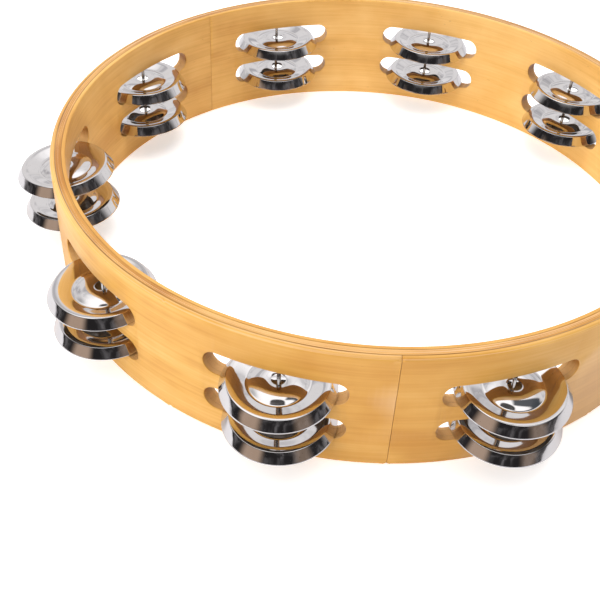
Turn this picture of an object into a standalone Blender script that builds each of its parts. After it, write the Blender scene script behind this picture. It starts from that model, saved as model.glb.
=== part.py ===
"""Headless hoop tambourine: a laminated wooden hoop with two rows of loose metal jingles.

Units are metres and +Z is up.  The hoop lies flat, its bottom rim on the plane Z = 0 and its axis on Z.
Each column of the hoop has two slots, one above the other, and one long pin that runs down through both.
Each slot holds one jingle, which rests on the slot's floor and is free to rise along its pin.
"""

import bpy
import bmesh
from math import atan, cos, pi, radians, sin
from mathutils import Matrix, Vector

# Hoop
HOOP_RADIUS = 0.127
HOOP_HEIGHT = 0.0508
HOOP_FACETS = 60
OUTER_PLY = 0.0019
CORE_PLY = 0.0023
INNER_PLY = 0.0016
GLUE_LINE = 0.00005
OUTER_EDGE_RADIUS = 0.0013
INNER_EDGE_RADIUS = 0.0005
EDGE_STEPS = 2

# Slots
COLUMNS = 10
FIRST_COLUMN = radians(-100.9)
COLUMN_STEP = 2.0 * pi / COLUMNS
ROW_HEIGHTS = {"lower": 0.0164, "upper": 0.0329}
SLOT_LENGTH = 0.0500
SLOT_HEIGHT = 0.0096
SLOT_END_STEPS = 4

# Pins, which stand a little to one side of the middle of their slots
PIN_CIRCLE_RADIUS = 0.1239
PIN_OFFSET = radians(0.55)
PIN_RADIUS = 0.0007
PIN_BOTTOM = 0.0006
PIN_TOP = 0.0436
PIN_SIDES = 8
PIN_HOLE_CLEARANCE = 0.00006

# Jingles: a dome, a groove round it, a ridge and a turned-down skirt, as radii and heights above the rim
JINGLE_RADIUS = 0.0196
JINGLE_HOLE_RADIUS = 0.0024
JINGLE_HEIGHT = 0.0049
JINGLE_THICKNESS = 0.0005
JINGLE_SEGMENTS = 14
DOME_RADIUS = 0.0072
DOME_SHOULDER = 0.0042
GROOVE_RADIUS = 0.0109
GROOVE_HEIGHT = 0.0033
RIDGE_RADIUS = 0.0168
RIDGE_HEIGHT = 0.0041
JINGLE_LEAN = radians(2.0)
REST_GAP = 0.0003

JINGLE_TRAVEL = SLOT_HEIGHT - JINGLE_HEIGHT - 2.0 * REST_GAP


def clear_scene():
    """Remove every object that the file opened with."""
    for item in list(bpy.data.objects):
        bpy.data.objects.remove(item, do_unlink=True)


def make_material(name, color, roughness, metallic):
    """Return a Principled material with one plain colour."""
    material = bpy.data.materials.new(name)
    material.use_nodes = True
    shader = material.node_tree.nodes["Principled BSDF"]
    shader.inputs["Base Color"].default_value = (*color, 1.0)
    shader.inputs["Roughness"].default_value = roughness
    shader.inputs["Metallic"].default_value = metallic
    return material


def add_object(name, bm, material=None):
    """Turn a bmesh into a linked object and return it."""
    bmesh.ops.recalc_face_normals(bm, faces=bm.faces)
    mesh = bpy.data.meshes.new(name)
    bm.to_mesh(mesh)
    bm.free()
    mesh.shade_smooth()
    mesh.set_sharp_from_angle(angle=radians(35.0))
    if material is not None:
        mesh.materials.append(material)
    item = bpy.data.objects.new(name, mesh)
    bpy.context.scene.collection.objects.link(item)
    return item


def spin_profile(points, steps):
    """Turn a closed outline of (radius, height) points about Z and return the ring's bmesh."""
    bm = bmesh.new()
    verts = [bm.verts.new((radius, 0.0, height)) for radius, height in points]
    edges = [bm.edges.new((verts[i - 1], verts[i])) for i in range(len(verts))]
    bmesh.ops.spin(
        bm,
        geom=verts + edges,
        cent=(0.0, 0.0, 0.0),
        axis=(0.0, 0.0, 1.0),
        angle=2.0 * pi,
        steps=steps,
        use_merge=True,
    )
    return bm


def corner_arc(centre_radius, centre_height, size, start, end):
    """Return the points of a rounded corner from one angle to another, in the radius-height plane."""
    points = []
    for step in range(EDGE_STEPS + 1):
        angle = start + (end - start) * step / EDGE_STEPS
        points.append((centre_radius + size * cos(angle), centre_height + size * sin(angle)))
    return points


def rounded_band(inner, outer, inner_size, outer_size):
    """Return the section of a ply whose inner or outer corners are rounded; a size of 0 keeps them square."""
    top = HOOP_HEIGHT
    if outer_size > 0.0:
        outer_side = corner_arc(outer - outer_size, outer_size, outer_size, -pi / 2, 0.0)
        outer_side += corner_arc(outer - outer_size, top - outer_size, outer_size, 0.0, pi / 2)
    else:
        outer_side = [(outer, 0.0), (outer, top)]
    if inner_size > 0.0:
        inner_side = corner_arc(inner + inner_size, top - inner_size, inner_size, pi / 2, pi)
        inner_side += corner_arc(inner + inner_size, inner_size, inner_size, pi, 3 * pi / 2)
    else:
        inner_side = [(inner, top), (inner, 0.0)]
    return outer_side + inner_side


def column_angles():
    """Return the angle of each column of slots about the hoop's axis."""
    return [FIRST_COLUMN + index * COLUMN_STEP for index in range(COLUMNS)]


def pin_angles():
    """Return the angle of each pin about the hoop's axis."""
    return [turn + PIN_OFFSET for turn in column_angles()]


def slot_outline():
    """Return the slot's outline, a rounded-end shape, as (along the hoop, up) points about its centre."""
    end_radius = SLOT_HEIGHT / 2.0
    half_straight = SLOT_LENGTH / 2.0 - end_radius
    points = []
    for side, start in ((1.0, -pi / 2), (-1.0, pi / 2)):
        for step in range(SLOT_END_STEPS + 1):
            angle = start + pi * step / SLOT_END_STEPS
            points.append((side * half_straight + end_radius * cos(angle), end_radius * sin(angle)))
    return points


def make_slot_cutter():
    """Return the hidden object that cuts every slot through the hoop, one closed body a slot."""
    bm = bmesh.new()
    reach_in = HOOP_RADIUS - 0.016
    reach_out = HOOP_RADIUS + 0.010
    outline = slot_outline()
    for turn in column_angles():
        spin = Matrix.Rotation(turn, 4, "Z")
        for height in ROW_HEIGHTS.values():
            verts = [bm.verts.new(spin @ Vector((reach_in, along, height + up))) for along, up in outline]
            face = bm.faces.new(verts)
            made = bmesh.ops.extrude_face_region(bm, geom=[face])
            moved = [part for part in made["geom"] if isinstance(part, bmesh.types.BMVert)]
            outward = spin @ Vector((reach_out - reach_in, 0.0, 0.0))
            bmesh.ops.translate(bm, verts=moved, vec=outward)
    cutter = add_object("slot_cutter", bm)
    cutter.hide_render = True
    cutter.display_type = "WIRE"
    return cutter


def add_pin_shape(bm, turn, radius, bottom, top):
    """Add one upright closed rod on a column's pin axis to a bmesh."""
    place = Matrix.Rotation(turn, 4, "Z") @ Matrix.Translation((PIN_CIRCLE_RADIUS, 0.0, (bottom + top) / 2.0))
    bmesh.ops.create_cone(
        bm,
        cap_ends=True,
        segments=PIN_SIDES,
        radius1=radius,
        radius2=radius,
        depth=top - bottom,
        matrix=place,
    )


def make_pin_hole_cutter():
    """Return the hidden object that drills the pin holes up from the bottom rim of the core ply."""
    bm = bmesh.new()
    for turn in pin_angles():
        add_pin_shape(bm, turn, PIN_RADIUS + PIN_HOLE_CLEARANCE, -0.002, PIN_TOP + PIN_HOLE_CLEARANCE)
    cutter = add_object("pin_hole_cutter", bm)
    cutter.hide_render = True
    cutter.display_type = "WIRE"
    return cutter


def cut(item, cutter):
    """Give an object an exact Boolean that takes the cutter away."""
    modifier = item.modifiers.new("cut_" + cutter.name, "BOOLEAN")
    modifier.operation = "DIFFERENCE"
    modifier.solver = "EXACT"
    modifier.object = cutter


def make_hoop(materials):
    """Build the three glued plies of the hoop, all slotted alike, with the pin holes in the core ply."""
    slot_cutter = make_slot_cutter()
    pin_hole_cutter = make_pin_hole_cutter()
    outer_inside = HOOP_RADIUS - OUTER_PLY
    core_outside = outer_inside - GLUE_LINE
    core_inside = core_outside - CORE_PLY
    inner_outside = core_inside - GLUE_LINE
    inner_inside = inner_outside - INNER_PLY
    sections = {
        "outer_ply": rounded_band(outer_inside, HOOP_RADIUS, 0.0, OUTER_EDGE_RADIUS),
        "core_ply": rounded_band(core_inside, core_outside, 0.0, 0.0),
        "inner_ply": rounded_band(inner_inside, inner_outside, INNER_EDGE_RADIUS, 0.0),
    }
    for name, section in sections.items():
        ply = add_object(name, spin_profile(section, HOOP_FACETS), materials[name])
        cut(ply, slot_cutter)
        if name == "core_ply":
            cut(ply, pin_hole_cutter)


def make_pins(material):
    """Build one long steel pin for each column; it passes down through both of the column's jingles."""
    for index, turn in enumerate(pin_angles()):
        bm = bmesh.new()
        add_pin_shape(bm, 0.0, PIN_RADIUS, PIN_BOTTOM, PIN_TOP)
        bmesh.ops.translate(bm, verts=bm.verts, vec=(-PIN_CIRCLE_RADIUS, 0.0, 0.0))
        pin = add_object(f"pin_{index + 1}", bm, material)
        pin.location = (PIN_CIRCLE_RADIUS * cos(turn), PIN_CIRCLE_RADIUS * sin(turn), 0.0)
        pin.rotation_euler = (0.0, 0.0, turn)


def jingle_section():
    """Return a jingle's closed section: the top face from hole to rim, then the same curve one thickness below."""
    top = [
        (JINGLE_HOLE_RADIUS, JINGLE_HEIGHT),
        (DOME_RADIUS, DOME_SHOULDER),
        (GROOVE_RADIUS, GROOVE_HEIGHT),
        (RIDGE_RADIUS, RIDGE_HEIGHT),
        (JINGLE_RADIUS, 0.0),
    ]
    slope = atan(RIDGE_HEIGHT / (JINGLE_RADIUS - RIDGE_RADIUS))
    under = [(radius, height - JINGLE_THICKNESS) for radius, height in top[:3]]
    under.append((RIDGE_RADIUS - 0.6 * JINGLE_THICKNESS, RIDGE_HEIGHT - JINGLE_THICKNESS))
    under.append((JINGLE_RADIUS - JINGLE_THICKNESS / sin(slope), 0.0))
    return top + under[::-1]


def make_jingles(material):
    """Build one jingle for each slot, with its origin on its pin's axis at the level of its rim.

    Each leans a little, with its outer side down.
    """
    for row, slot_height in ROW_HEIGHTS.items():
        rest = slot_height - SLOT_HEIGHT / 2.0 + REST_GAP
        for index, turn in enumerate(pin_angles()):
            bm = spin_profile(jingle_section(), JINGLE_SEGMENTS)
            bmesh.ops.rotate(bm, verts=bm.verts, cent=(0.0, 0.0, 0.0), matrix=Matrix.Rotation(JINGLE_LEAN, 3, "Y"))
            jingle = add_object(f"{row}_jingle_{index + 1}", bm, material)
            jingle.location = (PIN_CIRCLE_RADIUS * cos(turn), PIN_CIRCLE_RADIUS * sin(turn), rest)
            jingle.rotation_euler = (0.0, 0.0, turn)


def main():
    """Build the tambourine."""
    clear_scene()
    plies = {
        "outer_ply": make_material("outer_ply", (0.72, 0.45, 0.18), 0.30, 0.0),
        "core_ply": make_material("core_ply", (0.62, 0.34, 0.13), 0.35, 0.0),
        "inner_ply": make_material("inner_ply", (0.70, 0.44, 0.19), 0.32, 0.0),
    }
    make_hoop(plies)
    make_pins(make_material("pin_steel", (0.62, 0.62, 0.63), 0.25, 1.0))
    make_jingles(make_material("jingle_nickel", (0.78, 0.77, 0.75), 0.10, 1.0))
    print(f"jingle travel {JINGLE_TRAVEL:.5f} m")


main()
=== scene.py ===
import logging
from dataclasses import dataclass, field
from enum import Enum
from math import cos, pi, radians, sin

import bmesh
import bpy
from mathutils import Matrix, Vector


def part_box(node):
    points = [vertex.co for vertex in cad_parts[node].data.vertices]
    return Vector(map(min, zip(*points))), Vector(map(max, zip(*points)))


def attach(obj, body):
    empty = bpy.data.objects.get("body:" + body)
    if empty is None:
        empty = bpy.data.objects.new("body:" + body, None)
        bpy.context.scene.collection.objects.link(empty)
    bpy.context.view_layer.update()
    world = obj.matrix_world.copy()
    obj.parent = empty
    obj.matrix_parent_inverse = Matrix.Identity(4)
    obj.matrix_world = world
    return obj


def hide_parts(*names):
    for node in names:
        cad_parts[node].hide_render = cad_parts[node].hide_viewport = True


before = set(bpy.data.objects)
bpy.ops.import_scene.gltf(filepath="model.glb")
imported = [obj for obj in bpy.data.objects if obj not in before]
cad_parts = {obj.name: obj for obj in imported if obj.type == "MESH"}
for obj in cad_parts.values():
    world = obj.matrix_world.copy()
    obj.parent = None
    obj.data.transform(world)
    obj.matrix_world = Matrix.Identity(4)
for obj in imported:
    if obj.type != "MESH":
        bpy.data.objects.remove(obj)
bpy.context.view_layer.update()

LOG = logging.getLogger("tambourine")

# Places closer together than these lengths, in metres, count as the same before and after a mesh is cut.
EXACT = 1e-7
NEAR = 1e-6


# ---------------------------------------------------------------- shader graphs


class Value:
    """A number that changes over a surface: a node socket that Python's arithmetic works on."""

    def __init__(self, graph: "Graph", socket: bpy.types.NodeSocket) -> None:
        """Hold one output socket.

        Args:
            graph: The graph that the socket belongs to.
            socket: The output socket that gives the number.
        """
        self.graph = graph
        self.socket = socket

    def math(
        self, operation: str, *others: "Value | float", first: "Value | float | None" = None
    ) -> "Value":
        """Add one Math node.

        Args:
            operation: The Math node's operation.
            others: The values after this one, in socket order.
            first: A value that goes before this one, for reflected operators.

        Returns:
            The node's result.
        """
        terms = [self, *others] if first is None else [first, self, *others]
        node = self.graph.node("ShaderNodeMath", {"operation": operation}, dict(enumerate(terms)))
        return Value(self.graph, node.outputs[0])

    def __add__(self, other: "Value | float") -> "Value":
        """Return the sum."""
        return self.math("ADD", other)

    def __radd__(self, other: float) -> "Value":
        """Return the sum with a plain number first."""
        return self.math("ADD", other)

    def __sub__(self, other: "Value | float") -> "Value":
        """Return the difference."""
        return self.math("SUBTRACT", other)

    def __rsub__(self, other: float) -> "Value":
        """Return a plain number less this value."""
        return self.math("SUBTRACT", first=other)

    def __mul__(self, other: "Value | float") -> "Value":
        """Return the product."""
        return self.math("MULTIPLY", other)

    def __rmul__(self, other: float) -> "Value":
        """Return the product with a plain number first."""
        return self.math("MULTIPLY", other)

    def __truediv__(self, other: "Value | float") -> "Value":
        """Return the quotient."""
        return self.math("DIVIDE", other)

    def size(self) -> "Value":
        """Return the value without its sign."""
        return self.math("ABSOLUTE")

    def band(self, low: float, high: float) -> "Value":
        """Return a smooth step from 0 at low to 1 at high; high may be the lower of the two."""
        settings = {"interpolation_type": "SMOOTHSTEP"}
        inputs = {"Value": self, "From Min": low, "From Max": high}
        node = self.graph.node("ShaderNodeMapRange", settings, inputs)
        return Value(self.graph, node.outputs["Result"])


class Graph:
    """The node tree of a material or a world, with one method that adds any node."""

    def __init__(self, owner: bpy.types.Material | bpy.types.World) -> None:
        """Empty the owner's node tree and keep it.

        Args:
            owner: A new material or world that uses nodes.
        """
        self.tree = owner.node_tree
        self.tree.nodes.clear()

    def node(self, kind: str, settings: dict | None = None, inputs: dict | None = None) -> bpy.types.Node:
        """Add a node.

        Args:
            kind: The node's type name.
            settings: Properties set on the node first; "ramp" holds a colour ramp's stops.
            inputs: Values, sockets or links by socket name or number.

        Returns:
            The new node.
        """
        made = self.tree.nodes.new(kind)
        for name, value in (settings or {}).items():
            if name == "ramp":
                self.fill_ramp(made.color_ramp, value)
            else:
                setattr(made, name, value)
        for name, value in (inputs or {}).items():
            socket = made.inputs[name]
            if isinstance(value, Value):
                self.tree.links.new(value.socket, socket)
            elif isinstance(value, bpy.types.NodeSocket):
                self.tree.links.new(value, socket)
            else:
                socket.default_value = value
        return made

    @staticmethod
    def fill_ramp(ramp: bpy.types.ColorRamp, stops: list[tuple]) -> None:
        """Give a colour ramp its stops.

        Args:
            ramp: The ramp to fill.
            stops: Position and colour of each stop, in order.
        """
        while len(ramp.elements) < len(stops):
            ramp.elements.new(0.5)
        for element, (position, color) in zip(ramp.elements, stops):
            element.position = position
            element.color = (*color, 1.0)

    def object_place(self, turn: float = 0.0) -> bpy.types.NodeSocket:
        """Return the Object coordinates, turned about Z.

        Args:
            turn: The turn in radians.

        Returns:
            The turned coordinates' socket.
        """
        place = self.node("ShaderNodeTexCoord").outputs["Object"]
        if turn == 0.0:
            return place
        mapped = self.node("ShaderNodeMapping", {}, {"Vector": place, "Rotation": (0.0, 0.0, turn)})
        return mapped.outputs["Vector"]

    def split(self, vector: bpy.types.NodeSocket) -> tuple[Value, Value, Value]:
        """Return a vector's three parts."""
        parts = self.node("ShaderNodeSeparateXYZ", {}, {"Vector": vector})
        return tuple(Value(self, parts.outputs[i]) for i in range(3))

    def join(self, x: Value | float, y: Value | float, z: Value | float) -> bpy.types.NodeSocket:
        """Return a vector of three parts."""
        return self.node("ShaderNodeCombineXYZ", {}, {0: x, 1: y, 2: z}).outputs["Vector"]

    def noise(
        self, place: bpy.types.NodeSocket, scale: float, detail: float = 2.0, roughness: float = 0.5,
        warp: float = 0.0,
    ) -> Value:
        """Return soft random noise, from 0 to 1.

        Args:
            place: The coordinates.
            scale: The number of blotches in a metre.
            detail: The number of finer layers added.
            roughness: How strong each finer layer is.
            warp: How far the noise is stirred.

        Returns:
            The noise.
        """
        inputs = {
            "Vector": place, "Scale": scale, "Detail": detail, "Roughness": roughness, "Distortion": warp,
        }
        return Value(self, self.node("ShaderNodeTexNoise", {}, inputs).outputs[0])

    def mix(
        self, amount: Value | float, first: tuple | bpy.types.NodeSocket, second: tuple | bpy.types.NodeSocket
    ) -> bpy.types.NodeSocket:
        """Blend two colours.

        Args:
            amount: How much of the second is taken, from 0 to 1.
            first: The first colour.
            second: The second colour.

        Returns:
            The blended colour's socket.
        """
        colors = [(*color, 1.0) if isinstance(color, tuple) else color for color in (first, second)]
        node = self.node("ShaderNodeMix", {"data_type": "RGBA"}, {0: amount, 6: colors[0], 7: colors[1]})
        return node.outputs[2]

    def bump(self, height: Value, depth: float, strength: float = 1.0) -> bpy.types.NodeSocket:
        """Return the normal of a surface raised by a height from 0 to 1, times a depth in metres."""
        node = self.node("ShaderNodeBump", {}, {"Strength": strength, "Distance": depth, "Height": height})
        return node.outputs["Normal"]

    def finish(self, inputs: dict) -> None:
        """Add the Principled shader and the output.

        Args:
            inputs: The shader's sockets.
        """
        shader = self.node("ShaderNodeBsdfPrincipled", {}, inputs)
        self.node("ShaderNodeOutputMaterial", {}, {"Surface": shader.outputs["BSDF"]})


def new_material(name: str) -> tuple[bpy.types.Material, Graph]:
    """Make an empty material.

    Args:
        name: The material's name.

    Returns:
        The material and its graph.
    """
    material = bpy.data.materials.new(name)
    material.use_nodes = True
    return material, Graph(material)


# ---------------------------------------------------------------- finishes


@dataclass(frozen=True)
class BentWood:
    """Lacquered veneer bent round the hoop, with its grain running along the bend.

    Colours are linear.  The seam is the angle at which the ply's ends meet, and the tone changes across it.
    glue_radius is the side that is glued, and glue_side is 1 where the wood is outside it and -1 where it is
    inside.
    """

    name: str
    light: tuple = (0.81, 0.480, 0.145)
    middle: tuple = (0.71, 0.375, 0.080)
    dark: tuple = (0.58, 0.268, 0.044)
    fleck: tuple = (0.34, 0.15, 0.035)
    pale_layer: tuple = (0.92, 0.66, 0.42)
    glue: tuple = (0.20, 0.080, 0.020)
    seam: float = 0.0
    reference_radius: float = 0.127
    glue_radius: float | None = None
    glue_side: float = 0.0
    shade_change: float = 0.07
    roughness: float = 0.40
    coat: float = 0.13
    layer_strength: float = 0.0

    def material(self) -> bpy.types.Material:
        """Build the finish.

        Returns:
            The material.
        """
        material, graph = new_material(self.name)
        x, y, z = graph.split(graph.object_place(pi - self.seam))
        along = y.math("ARCTAN2", x) * self.reference_radius
        radius = (x * x + y * y).math("SQRT")
        bands = graph.noise(graph.join(along * 5.0, z * 95.0, radius * 160.0), 1.0, 3.0, 0.55, 0.6)
        streaks = graph.noise(graph.join(along * 26.0, z * 900.0, radius * 900.0), 1.0, 2.0, 0.6)
        fibres = graph.noise(graph.join(along * 120.0, z * 3600.0, radius * 3600.0), 1.0, 2.0, 0.5)
        mottle = graph.noise(graph.join(along * 60.0, z * 85.0, radius * 60.0), 1.0, 2.0, 0.5)
        clouds = graph.noise(graph.join(along * 14.0, z * 30.0, radius * 30.0), 1.0, 1.0, 0.5)
        tone = bands * 0.30 + streaks * 0.22 + mottle * 0.26 + clouds * 0.30
        tone = tone + (along.band(-0.004, 0.004) - 0.5) * self.shade_change
        ramp = graph.node(
            "ShaderNodeValToRGB",
            {"ramp": [(0.43, self.dark), (0.56, self.middle), (0.70, self.light)]},
            {"Fac": tone},
        )
        color = graph.mix(fibres.band(0.56, 0.78) * 0.24, ramp.outputs["Color"], self.dark)
        flecks = graph.noise(graph.join(along * 420.0, z * 1400.0, radius * 1400.0), 1.0, 0.0)
        color = graph.mix(flecks.band(0.84, 0.90) * 0.30, color, self.fleck)
        if self.layer_strength > 0.0:
            layers = graph.noise(graph.join(along * 9.0, z * 20.0, radius * 5200.0), 1.0, 1.0)
            color = graph.mix(layers.band(0.50, 0.60) * self.layer_strength, color, self.dark)
            pale = graph.noise(graph.join(along * 7.0, z * 20.0, radius * 3900.0), 1.0, 1.0, 0.5, 0.3)
            color = graph.mix(pale.band(0.52, 0.60) * self.layer_strength, color, self.pale_layer)
        if self.glue_radius is not None:
            near = ((radius - self.glue_radius) * self.glue_side).band(0.00032, 0.00008)
            patchy = graph.noise(graph.join(along * 30.0, 0.0, 0.0), 1.0, 2.0).band(0.36, 0.60)
            color = graph.mix(near * (patchy * 0.45 + 0.35), color, self.glue)
        rough = fibres * 0.08 + (self.roughness - 0.04)
        relief = fibres * 0.35 + streaks * 0.65
        graph.finish({
            "Base Color": color,
            "Roughness": rough,
            "Coat Weight": self.coat,
            "Coat Roughness": 0.16,
            "Specular IOR Level": 0.28,
            "Normal": graph.bump(relief, 0.000018, 0.6),
        })
        return material


@dataclass(frozen=True)
class RoutedWood:
    """The walls of the slots, cut across the plies: darker and drier, with the layers in view.

    floors are the heights of the two rows' floors.  The walls grow lighter from the ceiling to the floor, a
    painted shade under each slot's ceiling.
    """

    name: str
    dark: tuple = (0.58, 0.255, 0.052)
    middle: tuple = (0.40, 0.165, 0.034)
    light: tuple = (0.74, 0.430, 0.160)
    floors: tuple = (0.0, 0.0)
    slot_height: float = 0.0096

    def material(self) -> bpy.types.Material:
        """Build the finish.

        Returns:
            The material.
        """
        material, graph = new_material(self.name)
        x, y, z = graph.split(graph.object_place())
        radius = (x * x + y * y).math("SQRT")
        lower, upper = self.floors
        # 1 in the upper row's slots and 0 in the lower row's, with the change in the wood between them.
        in_upper = z.band(upper - 0.002, upper - 0.0019)
        floor = in_upper * (upper - lower) + lower
        height = (z - floor) / self.slot_height
        grain = graph.noise(graph.join(x * 160.0, y * 160.0, z * 420.0), 1.0, 3.0, 0.6)
        layers = graph.noise(graph.join(x * 25.0, y * 25.0, radius * 4200.0), 1.0, 1.0)
        # Painted shade: the walls are darker towards each slot's ceiling and lighter towards its floor.
        tone = (1.0 - height.band(0.05, 0.95)) * 0.62 + grain * 0.34 + layers * 0.20
        ramp = graph.node(
            "ShaderNodeValToRGB",
            {"ramp": [(0.22, self.dark), (0.50, self.middle), (0.86, self.light)]},
            {"Fac": tone},
        )
        scores = graph.noise(graph.join(x * 120.0, y * 120.0, radius * 2600.0), 1.0, 2.0)
        graph.finish({
            "Base Color": ramp.outputs["Color"],
            "Roughness": scores * 0.16 + 0.36,
            "Coat Weight": 0.10,
            "Coat Roughness": 0.25,
            "Specular IOR Level": 0.25,
            "Normal": graph.bump(scores + layers, 0.00006, 0.7),
        })
        return material


@dataclass(frozen=True)
class PolishedNickel:
    """Bright plated sheet metal: nearly a mirror, with hairline rubs, slight waves and a little tarnish."""

    name: str
    color: tuple = (0.74, 0.715, 0.70)
    tarnish: tuple = (0.66, 0.61, 0.55)
    speck: tuple = (0.30, 0.25, 0.20)
    rub_scale: tuple = (1700.0, 110.0, 600.0)
    rub_turn: tuple = (0.3, 0.2, 0.7)
    roughness: float = 0.045

    def material(self) -> bpy.types.Material:
        """Build the finish.

        Returns:
            The material.
        """
        material, graph = new_material(self.name)
        place = graph.object_place()
        clouds = graph.noise(place, 60.0, 3.0, 0.6)
        waves = graph.noise(place, 110.0, 1.0, 0.4)
        specks = graph.noise(place, 1900.0, 1.0, 0.5)
        rubbed = {"Vector": place, "Scale": self.rub_scale, "Rotation": self.rub_turn}
        rubs = graph.noise(graph.node("ShaderNodeMapping", {}, rubbed).outputs["Vector"], 1.0, 2.0, 0.6)
        color = graph.mix(clouds.band(0.46, 0.78) * 0.35, self.color, self.tarnish)
        color = graph.mix(specks.band(0.74, 0.80) * 0.5, color, self.speck)
        rough = clouds * 0.035 + rubs.band(0.60, 0.75) * 0.05 + (self.roughness - 0.012)
        graph.finish({
            "Base Color": color,
            "Metallic": 1.0,
            "Roughness": rough,
            "Normal": graph.bump(waves, 0.00010, 0.6),
        })
        return material


@dataclass(frozen=True)
class DullShadedNickel:
    """The unpolished inside of the stamped discs, cloudy and streaked by the press; its dark colour is
    painted shade that keeps the holes and the hollows under the discs dark.
    """

    name: str
    color: tuple = (0.17, 0.16, 0.15)
    stain: tuple = (0.08, 0.07, 0.06)

    def material(self) -> bpy.types.Material:
        """Build the finish.

        Returns:
            The material.
        """
        material, graph = new_material(self.name)
        place = graph.object_place()
        clouds = graph.noise(place, 140.0, 3.0, 0.6)
        grit = graph.noise(place, 1600.0, 2.0, 0.6)
        graph.finish({
            "Base Color": graph.mix(clouds.band(0.42, 0.62) * 0.7, self.color, self.stain),
            "Metallic": 0.8,
            "Roughness": grit * 0.2 + 0.42,
            "Normal": graph.bump(grit, 0.00005, 0.4),
        })
        return material


@dataclass(frozen=True)
class DrawnWire:
    """Bright steel wire, with the fine lengthwise lines of drawing."""

    name: str
    color: tuple = (0.66, 0.65, 0.63)
    groove: tuple = (0.42, 0.40, 0.37)

    def material(self) -> bpy.types.Material:
        """Build the finish.

        Returns:
            The material.
        """
        material, graph = new_material(self.name)
        x, y, z = graph.split(graph.object_place())
        lines = graph.noise(graph.join(x * 6000.0, y * 6000.0, z * 60.0), 1.0, 2.0)
        color = graph.mix(lines.band(0.5, 0.75) * 0.4, self.color, self.groove)
        graph.finish({
            "Base Color": color,
            "Metallic": 1.0,
            "Roughness": lines * 0.14 + 0.12,
            "Normal": graph.bump(lines, 0.00002, 0.4),
        })
        return material


# ---------------------------------------------------------------- mesh helpers

# Faces that meet at more than this angle are drawn with a sharp edge between them.
SHARP_ANGLE = radians(40.0)


def add_piece(
    name: str, bm: bmesh.types.BMesh, materials: list, body: str, node: str
) -> bpy.types.Object:
    """Turn a bmesh into a piece that rides on a body and stands for a CAD node.

    Args:
        name: The piece's name.
        bm: Its mesh, which is freed.
        materials: Its materials, in slot order.
        body: The body it rides on.
        node: The CAD node it stands for.

    Returns:
        The new object.
    """
    mesh = bpy.data.meshes.new(name)
    bm.to_mesh(mesh)
    bm.free()
    mesh.shade_smooth()
    mesh.set_sharp_from_angle(angle=SHARP_ANGLE)
    for material in materials:
        mesh.materials.append(material)
    piece = bpy.data.objects.new(name, mesh)
    bpy.context.scene.collection.objects.link(piece)
    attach(piece, body)
    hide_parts(node)
    LOG.info("%s: %d faces", name, len(mesh.polygons))
    return piece


def bevel_edges(bm: bmesh.types.BMesh, edges: list, offset: float, segments: int) -> None:
    """Round some edges.

    Args:
        bm: The mesh.
        edges: The edges to round.
        offset: The width taken off each side.
        segments: The number of steps in the round.
    """
    bmesh.ops.bevel(
        bm, geom=edges, offset=offset, segments=segments, affect="EDGES", profile=0.5, material=-1,
        clamp_overlap=True,
    )


class Contour:
    """A turned section drawn as straight stretches and arcs, each going on from where the last ended."""

    def __init__(self, radius: float, height: float, slope: float) -> None:
        """Start the path.

        Args:
            radius: The distance from the axis.
            height: The height.
            slope: The angle below level that the path leaves at, in radians.
        """
        self.points = [(radius, height)]
        self.slope = slope

    def line(self, length: float, steps: int) -> "Contour":
        """Go straight on.

        Args:
            length: How far.
            steps: The number of points to add.

        Returns:
            This contour.
        """
        radius, height = self.points[-1]
        for step in range(1, steps + 1):
            share = length * step / steps
            self.points.append((radius + share * cos(self.slope), height - share * sin(self.slope)))
        return self

    def arc(self, size: float, slope: float, steps: int) -> "Contour":
        """Turn to a new slope.

        Args:
            size: The radius of the turn.
            slope: The slope at the end of it, in radians below level.
            steps: The number of points to add.

        Returns:
            This contour.
        """
        radius, height = self.points[-1]
        side = 1.0 if slope > self.slope else -1.0
        centre_radius = radius - side * size * sin(self.slope)
        centre_height = height - side * size * cos(self.slope)
        for step in range(1, steps + 1):
            angle = self.slope + (slope - self.slope) * step / steps
            radius = centre_radius + side * size * sin(angle)
            self.points.append((radius, centre_height + side * size * cos(angle)))
        self.slope = slope
        return self

    def spin(self, steps: int) -> bmesh.types.BMesh:
        """Turn the path into a surface.

        Args:
            steps: The number of steps round the axis.

        Returns:
            The surface's mesh, with the axis on Z.
        """
        bm = bmesh.new()
        verts = [bm.verts.new((radius, 0.0, height)) for radius, height in self.points]
        edges = [bm.edges.new(pair) for pair in zip(verts, verts[1:])]
        bmesh.ops.spin(
            bm, geom=verts + edges, cent=(0.0, 0.0, 0.0), axis=(0.0, 0.0, 1.0), angle=2.0 * pi, steps=steps,
            use_merge=True,
        )
        return bm


# ---------------------------------------------------------------- hoop


class Face(Enum):
    """The surfaces of a ply, by material slot."""

    VENEER = 0
    SLOT_WALL = 1


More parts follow.
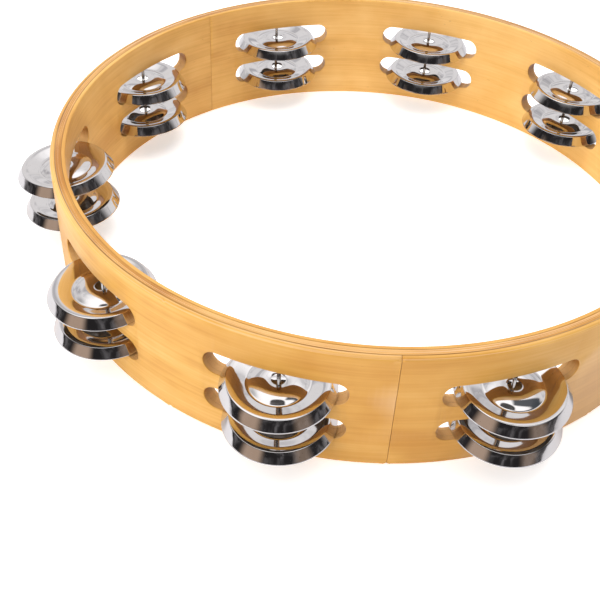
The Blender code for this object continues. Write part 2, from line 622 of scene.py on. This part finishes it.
@dataclass
class SlotPattern:
    """Where the hoop is pierced: columns of rounded slots, one row above the other."""

    columns: int = 10
    first_column: float = radians(-100.9)
    heights: tuple = (0.0164, 0.0329)
    length: float = 0.0500
    height: float = 0.0096
    end_steps: int = 14

    @property
    def column_step(self) -> float:
        """Return the angle between neighbouring columns."""
        return 2.0 * pi / self.columns

    def turn(self, column: int) -> float:
        """Return the angle of a column, counted from 1."""
        return self.first_column + (column - 1) * self.column_step

    def floors(self) -> tuple:
        """Return the height of the floor of each row's slots."""
        return tuple(middle - self.height / 2.0 for middle in self.heights)

    def add_outline(self, bm: bmesh.types.BMesh, middle: float) -> list:
        """Add one slot's outline to a flat mesh whose X runs along the hoop and whose Z is up.

        Args:
            bm: The mesh.
            middle: The height of the slot's centre.

        Returns:
            The outline's edges.
        """
        radius = self.height / 2.0
        place = Matrix.Translation((0.0, 0.0, middle)) @ Matrix.Rotation(pi / 2, 4, "X")
        place = place @ Matrix.Rotation(pi / (2 * self.end_steps), 4, "Z")
        made = bmesh.ops.create_circle(
            bm, cap_ends=False, segments=2 * self.end_steps, radius=radius, matrix=place
        )
        half = self.length / 2.0 - radius
        for vert in made["verts"]:
            vert.co.x += half if vert.co.x > 0.0 else -half
        return list({edge for vert in made["verts"] for edge in vert.link_edges})


@dataclass
class Ply:
    """One bent layer of the hoop: a flat pierced strip, then bent until its two ends meet at a seam.

    seam_column is the column after which the ends meet.  outer_round and inner_round are the sizes of the
    rounded corners on each side, or 0 for square ones.
    """

    node: str
    inner: float
    outer: float
    height: float
    finish: BentWood
    seam_column: int
    outer_round: float = 0.0
    inner_round: float = 0.0
    slot_round: float = 0.00035
    seam_gap: float = 0.00016
    bend_steps: int = 36

    def build(self, slots: SlotPattern, slot_wall: bpy.types.Material) -> bpy.types.Object:
        """Make the ply.

        Args:
            slots: The slot pattern.
            slot_wall: The material of the slots' walls.

        Returns:
            The new piece.
        """
        bm = self.flat_panel(slots)
        self.repeat(bm, slots)
        self.close_ends(bm)
        self.mark_slot_walls(bm, slots)
        self.bend(bm, slots)
        bmesh.ops.recalc_face_normals(bm, faces=bm.faces)
        return add_piece(
            f"{self.node}_veneer", bm, [self.finish.material(), slot_wall], "hoop", self.node
        )

    def panel_half(self, slots: SlotPattern) -> float:
        """Return half the length of one column's panel, measured on the hoop's outside."""
        return slots.column_step * self.finish.reference_radius / 2.0

    def flat_panel(self, slots: SlotPattern) -> bmesh.types.BMesh:
        """Make one column's flat panel, with X along the hoop, Y its radius and Z up, and both ends open.

        Args:
            slots: The slot pattern.

        Returns:
            The panel's mesh.
        """
        bm = bmesh.new()
        half = self.panel_half(slots)
        corners = [(-half, 0.0, 0.0), (half, 0.0, 0.0), (half, 0.0, self.height), (-half, 0.0, self.height)]
        verts = [bm.verts.new(corner) for corner in corners]
        edges = [bm.edges.new((verts[i - 1], verts[i])) for i in range(4)]
        for middle in slots.heights:
            edges += slots.add_outline(bm, middle)
        filled = bmesh.ops.triangle_fill(
            bm, use_beauty=True, use_dissolve=False, edges=edges, normal=(0.0, -1.0, 0.0)
        )
        faces = [part for part in filled["geom"] if isinstance(part, bmesh.types.BMFace)]
        bmesh.ops.translate(bm, verts=bm.verts, vec=(0.0, self.inner, 0.0))
        thick = bmesh.ops.extrude_face_region(bm, geom=faces)
        moved = [part for part in thick["geom"] if isinstance(part, bmesh.types.BMVert)]
        bmesh.ops.translate(bm, verts=moved, vec=(0.0, self.outer - self.inner, 0.0))
        bmesh.ops.recalc_face_normals(bm, faces=bm.faces)
        self.round_corners(bm, half)
        ends = [face for face in bm.faces if self.at_end(face, half)]
        bmesh.ops.delete(bm, geom=ends, context="FACES_ONLY")
        for step in range(1, self.bend_steps):
            cut_at = Vector((-half + 2.0 * half * step / self.bend_steps, 0.0, 0.0))
            geom = list(bm.verts) + list(bm.edges) + list(bm.faces)
            bmesh.ops.bisect_plane(bm, geom=geom, dist=EXACT, plane_co=cut_at, plane_no=(1.0, 0.0, 0.0))
        bmesh.ops.dissolve_degenerate(bm, dist=NEAR, edges=bm.edges)
        return bm

    @staticmethod
    def at_end(face: bmesh.types.BMFace, half: float) -> bool:
        """Return whether a face closes one of the flat panel's ends."""
        return abs(face.normal.x) > 0.99 and abs(abs(face.calc_center_median().x) - half) < NEAR

    def round_corners(self, bm: bmesh.types.BMesh, half: float) -> None:
        """Round the rim's corners and the rims of the slots on the ply's open sides.

        Args:
            bm: The closed flat panel.
            half: Half the panel's length.
        """
        for radius, corner in ((self.outer, self.outer_round), (self.inner, self.inner_round)):
            if corner <= 0.0:
                continue
            on_side = [edge for edge in bm.edges if self.on_side(edge, radius)]
            sharp = [edge for edge in on_side if len(edge.link_faces) == 2 and edge.calc_face_angle() > 1.0]
            inside = [edge for edge in sharp if any(half - abs(v.co.x) >= EXACT for v in edge.verts)]
            bevel_edges(bm, [edge for edge in inside if not self.on_rim(edge)], self.slot_round, 2)
            rims = [edge for edge in bm.edges if self.on_side(edge, radius) and self.on_rim(edge)]
            level = [edge for edge in rims if abs(edge.verts[0].co.z - edge.verts[1].co.z) < EXACT]
            bevel_edges(bm, level, corner, 4)

    @staticmethod
    def on_side(edge: bmesh.types.BMEdge, radius: float) -> bool:
        """Return whether a flat panel's edge lies on the side of a given radius."""
        return all(abs(vert.co.y - radius) < EXACT for vert in edge.verts)

    def on_rim(self, edge: bmesh.types.BMEdge) -> bool:
        """Return whether an edge's two ends are both on the bottom or top rim."""
        return all(vert.co.z < EXACT or vert.co.z > self.height - EXACT for vert in edge.verts)

    def repeat(self, bm: bmesh.types.BMesh, slots: SlotPattern) -> None:
        """Set the panel side by side for every column, starting after the seam.

        Args:
            bm: The panel's mesh.
            slots: The slot pattern.
        """
        length = 2.0 * self.panel_half(slots)
        first = list(bm.verts) + list(bm.edges) + list(bm.faces)
        for index in range(1, slots.columns):
            copied = bmesh.ops.duplicate(bm, geom=first)["geom"]
            verts = [part for part in copied if isinstance(part, bmesh.types.BMVert)]
            bmesh.ops.translate(bm, verts=verts, vec=(index * length, 0.0, 0.0))
        bmesh.ops.remove_doubles(bm, verts=bm.verts, dist=2.0 * NEAR)

    def close_ends(self, bm: bmesh.types.BMesh) -> None:
        """Close the strip's two ends and draw them in by half the seam's gap.

        Args:
            bm: The strip's mesh.
        """
        low = min(vert.co.x for vert in bm.verts)
        high = max(vert.co.x for vert in bm.verts)
        for end, move in ((low, self.seam_gap / 2.0), (high, -self.seam_gap / 2.0)):
            verts = [vert for vert in bm.verts if abs(vert.co.x - end) < NEAR]
            bmesh.ops.translate(bm, verts=verts, vec=(move, 0.0, 0.0))
        open_edges = [edge for edge in bm.edges if edge.is_boundary]
        bmesh.ops.holes_fill(bm, edges=open_edges, sides=0)

    def mark_slot_walls(self, bm: bmesh.types.BMesh, slots: SlotPattern) -> None:
        """Give the walls inside the slots their own material.

        Args:
            bm: The strip's mesh.
            slots: The slot pattern.
        """
        margin = 0.0001
        low = slots.heights[0] - slots.height / 2.0 - margin
        high = slots.heights[-1] + slots.height / 2.0 + margin
        start = min(vert.co.x for vert in bm.verts) + margin
        end = max(vert.co.x for vert in bm.verts) - margin
        for face in bm.faces:
            face.normal_update()
            middle = face.calc_center_median()
            inside = low < middle.z < high and start < middle.x < end
            wall = inside and abs(face.normal.y) < 0.35
            face.material_index = Face.SLOT_WALL.value if wall else Face.VENEER.value

    def bend(self, bm: bmesh.types.BMesh, slots: SlotPattern) -> None:
        """Bend the strip into the hoop.

        Args:
            bm: The strip's mesh.
            slots: The slot pattern.
        """
        start = slots.turn(self.seam_column + 1)
        for vert in bm.verts:
            angle = start + vert.co.x / self.finish.reference_radius
            vert.co.x, vert.co.y = vert.co.y * cos(angle), vert.co.y * sin(angle)


@dataclass
class Hoop:
    """The laminated hoop: an outer ply, a thicker core and an inner ply, all pierced alike.

    seam_columns are the columns after which the outer ply, the core and the inner ply have their seams.
    """

    radius: float = 0.127
    height: float = 0.0508
    outer_ply: float = 0.0019
    core_ply: float = 0.0023
    inner_ply: float = 0.0016
    glue_line: float = 0.00005
    seam_columns: tuple = (1, 5, 7)
    slots: SlotPattern = field(default_factory=SlotPattern)

    def seam_angle(self, column: int) -> float:
        """Return the angle of a seam that follows a column."""
        return self.slots.turn(column) + self.slots.column_step / 2.0

    def plies(self) -> list[Ply]:
        """Lay out the plies from the outside in.

        Returns:
            The plies.
        """
        outer_inside = self.radius - self.outer_ply
        core_outside = outer_inside - self.glue_line
        core_inside = core_outside - self.core_ply
        inner_outside = core_inside - self.glue_line
        inner_inside = inner_outside - self.inner_ply
        outer, core, inner = self.seam_columns
        outer_wood = BentWood(
            "honey_veneer", seam=self.seam_angle(outer), glue_radius=outer_inside, glue_side=1.0,
            layer_strength=0.3,
        )
        core_wood = BentWood(
            "core_veneer", light=(0.78, 0.45, 0.130), middle=(0.66, 0.33, 0.070), dark=(0.46, 0.19, 0.034),
            seam=self.seam_angle(core), glue_radius=core_outside, glue_side=-1.0, layer_strength=0.55,
        )
        # Painted light: the inner ply's colours are made lighter to brighten the hoop's inside, which the key
        # light does not reach.
        inner_wood = BentWood(
            "inner_veneer", light=(0.88, 0.54, 0.180), middle=(0.79, 0.44, 0.115), dark=(0.66, 0.33, 0.072),
            seam=self.seam_angle(inner), glue_radius=inner_outside, glue_side=-1.0,
        )
        high = self.height
        return [
            Ply("outer_ply", outer_inside, self.radius, high, outer_wood, outer, outer_round=0.0013),
            Ply("core_ply", core_inside, core_outside, high, core_wood, core),
            Ply("inner_ply", inner_inside, inner_outside, high, inner_wood, inner, inner_round=0.0005),
        ]

    def build(self) -> list[bpy.types.Object]:
        """Make the plies.

        Returns:
            The new pieces.
        """
        slot_wall = RoutedWood("routed_slot_wall", floors=self.slots.floors()).material()
        return [ply.build(self.slots, slot_wall) for ply in self.plies()]


# ---------------------------------------------------------------- pins and jingles


@dataclass
class Pins:
    """The upright wires that hold the jingles."""

    radius: float = 0.0007
    sides: int = 24
    chamfer: float = 0.00015

    def build(self, columns: int) -> list[bpy.types.Object]:
        """Make every pin.

        Args:
            columns: The number of columns of slots.

        Returns:
            The new pieces.
        """
        wire = DrawnWire("bright_wire").material()
        return [self.pin(f"pin_{column}", wire) for column in range(1, columns + 1)]

    def pin(self, node: str, wire: bpy.types.Material) -> bpy.types.Object:
        """Make one pin.

        Args:
            node: Its CAD node.
            wire: Its material.

        Returns:
            The new piece.
        """
        low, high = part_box(node)
        bm = bmesh.new()
        bmesh.ops.create_cone(
            bm, cap_ends=True, segments=self.sides, radius1=self.radius, radius2=self.radius,
            depth=high.z - low.z, matrix=Matrix.Translation((low + high) / 2.0),
        )
        ends = [edge for edge in bm.edges if abs(edge.verts[0].co.z - edge.verts[1].co.z) < EXACT]
        bevel_edges(bm, ends, self.chamfer, 2)
        return add_piece(f"{node}_wire", bm, [wire], "hoop", node)


class Sheet(Enum):
    """The two faces of a jingle's metal, by material slot."""

    OUTSIDE = 0
    INSIDE = 1


@dataclass(frozen=True)
class Rest:
    """How one jingle lies: its lean out and to the side, in degrees, and its shift on its pin, in metres."""

    lean_out: float = 2.0
    lean_side: float = 0.0
    shift_out: float = 0.0
    shift_side: float = 0.0


@dataclass
class Jingle:
    """A stamped disc: a low dome with a hole, a groove round it, a broad ridge and a turned-down skirt.

    Slopes are angles below level, going outwards.  overhang is the distance from the disc's axis out to the
    hoop's outer face, where a disc that leans outwards rests on the floor of its slot.
    """

    radius: float = 0.0196
    hole_radius: float = 0.0024
    thickness: float = 0.0005
    hub_slope: float = radians(-12.0)
    dome_slope: float = radians(26.0)
    dome_radius: float = 0.0112
    groove_radius: float = 0.0016
    rise_slope: float = radians(-18.0)
    rise: float = 0.0035
    ridge_slope: float = radians(2.0)
    ridge_radius: float = 0.0068
    crease_radius: float = 0.0006
    skirt_slope: float = radians(56.0)
    skirt: float = 0.0036
    lip_slope: float = radians(74.0)
    lip_radius: float = 0.0018
    edge_round: float = 0.00011
    clearance: float = 0.0001
    overhang: float = 0.0031
    steps: int = 96

    def contour(self) -> Contour:
        """Draw the top face's section, from the hole out to the rim.

        Returns:
            The section, with its hole edge at height 0.
        """
        path = Contour(self.hole_radius, 0.0, self.hub_slope)
        path.arc(self.dome_radius, self.dome_slope, 12)
        path.arc(self.groove_radius, self.rise_slope, 8)
        path.line(self.rise, 3)
        path.arc(self.ridge_radius, self.ridge_slope, 8)
        path.arc(self.crease_radius, self.skirt_slope, 6)
        path.line(self.skirt, 2)
        path.arc(self.lip_radius, self.lip_slope, 8)
        return path

    def shape(self) -> bmesh.types.BMesh:
        """Make the disc, with its axis on Z and the outer edge of its skirt ending at height 0.

        Returns:
            The disc's mesh.
        """
        path = self.contour()
        reach, drop = path.points[-1]
        scale = self.radius / reach
        path.points = [(radius * scale, (height - drop) * scale) for radius, height in path.points]
        bm = path.spin(self.steps)
        bmesh.ops.recalc_face_normals(bm, faces=bm.faces)
        if sum(face.normal.z for face in bm.faces) < 0.0:
            bmesh.ops.reverse_faces(bm, faces=bm.faces)
        bmesh.ops.solidify(bm, geom=list(bm.faces), thickness=self.thickness)
        bmesh.ops.recalc_face_normals(bm, faces=bm.faces)
        # Painted shade: the undersides and the wall of the hole take the dark inside finish, which keeps the
        # holes dark.
        for face in bm.faces:
            face.normal_update()
            near_hole = face.calc_center_median().xy.length < self.hole_radius * 1.06
            dark_painted_face = face.normal.z < -0.1 or (near_hole and abs(face.normal.z) < 0.7)
            face.material_index = Sheet.INSIDE.value if dark_painted_face else Sheet.OUTSIDE.value
        rims = [edge for edge in bm.edges if edge.calc_face_angle(0.0) > 1.2]
        bevel_edges(bm, rims, self.edge_round, 2)
        return bm

    def place(self, node: str, axis: Vector, floor: float, rest: Rest, metals: list) -> bpy.types.Object:
        """Make the jingle of one slot, lying on the slot's floor.

        Args:
            node: Its CAD node, which is also its body.
            axis: A point on the axis of its pin.
            floor: The height of the slot's floor.
            rest: How it lies.
            metals: Its outside and inside materials.

        Returns:
            The new piece.
        """
        lean_out, lean_side = radians(rest.lean_out), radians(rest.lean_side)
        lift = self.clearance + self.radius * abs(sin(lean_side)) + self.overhang * sin(lean_out)
        facing = Matrix.Rotation(Vector((axis.x, axis.y)).angle_signed(Vector((1.0, 0.0))), 4, "Z")
        lean = Matrix.Rotation(lean_out, 4, "Y") @ Matrix.Rotation(lean_side, 4, "X")
        shift = Matrix.Translation((rest.shift_out, rest.shift_side, 0.0))
        bm = self.shape()
        place = Matrix.Translation((axis.x, axis.y, floor + lift)) @ facing @ shift @ lean
        bmesh.ops.transform(bm, matrix=place, verts=bm.verts)
        return add_piece(f"{node}_disc", bm, metals, node, node)


# How the jingles lie, from column 1 round to column 10.
LOWER_RESTS = (
    Rest(0.3, 1.2, -0.0002, 0.0007), Rest(3.0, 0.8, -0.0005, 0.0006), Rest(1.5, -0.6, 0.0003, -0.0005),
    Rest(2.4, 0.5, -0.0004, 0.0001), Rest(1.8, -0.9, 0.0002, -0.0008), Rest(2.2, 0.4, -0.0006, -0.0002),
    Rest(1.2, -0.3, 0.0005, -0.0009), Rest(2.6, 0.7, 0.0001, 0.0002), Rest(3.5, 1.0, 0.0, -0.0012),
    Rest(0.8, 1.0, -0.0007, -0.0011),
)
UPPER_RESTS = (
    Rest(3.5, 0.2, -0.0002, -0.0001), Rest(3.2, 0.7, 0.0011, -0.0005), Rest(2.0, -0.5, 0.0002, -0.0004),
    Rest(1.6, 0.6, -0.0003, 0.0001), Rest(2.8, -0.7, 0.0006, -0.0009), Rest(1.9, 0.3, 0.0003, -0.0003),
    Rest(2.3, -0.4, -0.0005, -0.0006), Rest(1.4, 0.8, 0.0004, 0.0), Rest(4.0, 0.5, 0.0010, -0.0012),
    Rest(2.1, -0.2, 0.0005, 0.0001),
)


@dataclass
class Jingles:
    """Every jingle of the tambourine, each lying a little differently."""

    disc: Jingle = field(default_factory=Jingle)
    rests: dict = field(default_factory=lambda: {"lower": LOWER_RESTS, "upper": UPPER_RESTS})

    def build(self, slots: SlotPattern) -> list[bpy.types.Object]:
        """Make every jingle.

        Args:
            slots: The slot pattern.

        Returns:
            The new pieces.
        """
        metals = [PolishedNickel("polished_nickel").material(), DullShadedNickel("shaded_dull_nickel_inside").material()]
        made = []
        for (row, rests), floor in zip(self.rests.items(), slots.floors()):
            for column, rest in enumerate(rests, start=1):
                low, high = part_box(f"pin_{column}")
                node = f"{row}_jingle_{column}"
                made.append(self.disc.place(node, (low + high) / 2.0, floor, rest, metals))
        return made


# ---------------------------------------------------------------- studio


@dataclass(frozen=True)
class Softbox:
    """A rectangular light, hidden from reflections, with its size in metres and its power in watts."""

    name: str
    at: tuple
    aim: tuple
    size: tuple
    power: float

    def hang(self) -> None:
        """Add the light to the scene."""
        data = bpy.data.lights.new(self.name, "AREA")
        data.shape = "RECTANGLE"
        data.size, data.size_y = self.size
        data.energy = self.power
        lamp = bpy.data.objects.new(self.name, data)
        lamp.location = self.at
        lamp.visible_glossy = False
        lamp.rotation_euler = (Vector(self.aim) - Vector(self.at)).to_track_quat("-Z", "Y").to_euler()
        bpy.context.scene.collection.objects.link(lamp)


SOFTBOXES = (
    Softbox("key_softbox", (-0.64, -0.78, 0.44), (0.0, 0.0, 0.02), (0.6, 0.6), 5.3),
    Softbox("top_softbox", (0.05, 0.10, 1.05), (0.0, 0.0, 0.0), (0.9, 0.6), 5.8),
    Softbox("side_softbox", (-0.9, 0.1, 0.55), (0.0, 0.0, 0.02), (0.4, 0.4), 2.0),
)


@dataclass
class Studio:
    """The pale floor, the room that the metal mirrors, the soft lights and the camera."""

    camera_at: tuple = (0.0, -0.33843, 0.26121)
    camera_aim: tuple = (-0.02254, -0.04740, 0.0)
    camera_roll: float = radians(3.02)
    lens: float = 58.74
    sensor_width: float = 36.0
    clip_start: float = 0.01
    floor_size: float = 6.0
    floor_drop: float = 0.0002
    floor_color: tuple = (0.93, 0.93, 0.93)
    floor_glow: tuple = (1.0, 1.0, 1.0)
    mirrored_floor: tuple = (0.66, 0.66, 0.68)
    mirrored_glow: tuple = (0.25, 0.25, 0.27)
    dark_room: tuple = (0.030, 0.028, 0.030)
    grey_room: tuple = (0.34, 0.33, 0.35)
    dark_side: tuple = (0.075, 0.090, 0.110)
    overhead: tuple = (1.9, 1.9, 1.95)
    bright_room: tuple = (1.20, 1.19, 1.22)
    shaded_room: tuple = (0.50, 0.50, 0.55)
    panel_color: tuple = (0.66, 0.49, 0.38)
    backdrop: tuple = (1.6, 1.6, 1.6)
    room_strength: float = 0.75

    def build(self) -> None:
        """Set up the floor, the surroundings, the lights and the camera."""
        self.floor()
        self.surroundings()
        for softbox in SOFTBOXES:
            softbox.hang()
        self.camera()

    def floor(self) -> None:
        """Lay the floor, which the metal mirrors as a greyer one."""
        bm = bmesh.new()
        bmesh.ops.create_grid(bm, x_segments=1, y_segments=1, size=self.floor_size / 2.0)
        mesh = bpy.data.meshes.new("studio_floor")
        bm.to_mesh(mesh)
        bm.free()
        material, graph = new_material("white_sweep")
        mirrored = Value(graph, graph.node("ShaderNodeLightPath").outputs["Is Glossy Ray"])
        graph.finish({
            "Base Color": graph.mix(mirrored, self.floor_color, self.mirrored_floor),
            "Roughness": 0.9,
            "Specular IOR Level": 0.1,
            "Emission Color": graph.mix(mirrored, self.floor_glow, self.mirrored_glow),
            "Emission Strength": 0.55,
        })
        mesh.materials.append(material)
        floor = bpy.data.objects.new("studio_floor", mesh)
        floor.location.z = -self.floor_drop
        bpy.context.scene.collection.objects.link(floor)

    def surroundings(self) -> None:
        """Light the scene from a room: bright above and beyond, dark nearby but for two panels."""
        world = bpy.data.worlds.new("studio_room")
        bpy.context.scene.world = world
        world.use_nodes = True
        graph = Graph(world)
        x, y, z = graph.split(graph.node("ShaderNodeTexCoord").outputs["Generated"])
        bearing = y.math("ARCTAN2", x)
        panels = self.panel(bearing, z, -132.0, 17.0) + self.panel(bearing, z, -42.0, 13.0) * 0.45
        streaks = graph.noise(graph.join(x * 3.0, y * 3.0, z * 7.0), 1.0, 3.0, 0.6, 0.8).band(0.42, 0.72)
        dark = graph.mix(streaks * 0.6, self.dark_room, self.grey_room)
        room = graph.mix(panels, dark, self.panel_color)
        bright = (y.band(-0.05, 0.40) + z.band(0.80, 0.90)).math("MINIMUM", 1.0)
        boom = (z * 0.985 - x * 0.02 - y * 0.17).band(0.975, 0.985)
        lit = graph.mix(streaks * 0.75, self.bright_room, self.shaded_room)
        room = graph.mix(bright * (1.0 - boom * 0.93), room, lit)
        room = graph.mix(z.band(0.68, 0.94) * (1.0 - boom), room, self.overhead)
        side = x.band(0.10, 0.18) * y.band(-0.04, 0.04) * y.band(0.40, 0.33) * z.band(0.60, 0.68)
        room = graph.mix(side * 0.95, room, self.dark_side)
        seen = Value(graph, graph.node("ShaderNodeLightPath").outputs["Is Camera Ray"])
        room = graph.mix(seen, room, self.backdrop)
        shine = graph.node("ShaderNodeBackground", {}, {"Strength": self.room_strength, "Color": room})
        graph.node("ShaderNodeOutputWorld", {}, {"Surface": shine.outputs["Background"]})

    @staticmethod
    def panel(bearing: Value, height: Value, middle: float, half_width: float) -> Value:
        """Return the mask of an upright panel with soft edges.

        Args:
            bearing: The bearing looked along, in radians.
            height: The sine of the elevation looked along.
            middle: The bearing of the panel's middle, in degrees.
            half_width: Half its width, in degrees.

        Returns:
            The mask.
        """
        softness = 8.0
        away = (bearing - radians(middle)).size()
        across = away.band(radians(half_width + softness), radians(half_width - softness))
        return across * height.band(0.02, 0.08) * height.band(0.62, 0.50)

    def camera(self) -> None:
        """Set the camera."""
        data = bpy.data.cameras.new("camera")
        data.lens = self.lens
        data.sensor_width = self.sensor_width
        data.clip_start = self.clip_start
        camera = bpy.data.objects.new("camera", data)
        facing = (Vector(self.camera_aim) - Vector(self.camera_at)).to_track_quat("-Z", "Y")
        look = facing.to_matrix().to_4x4() @ Matrix.Rotation(self.camera_roll, 4, "Z")
        camera.matrix_world = Matrix.Translation(self.camera_at) @ look
        bpy.context.scene.collection.objects.link(camera)
        bpy.context.scene.camera = camera


def main() -> None:
    """Build the tambourine's pieces and its studio."""
    logging.basicConfig(level=logging.INFO)
    hoop = Hoop()
    hoop.build()
    Pins().build(hoop.slots.columns)
    Jingles().build(hoop.slots)
    Studio().build()
    bpy.context.scene.view_settings.view_transform = "Standard"


if __name__ == "__main__":
    main()
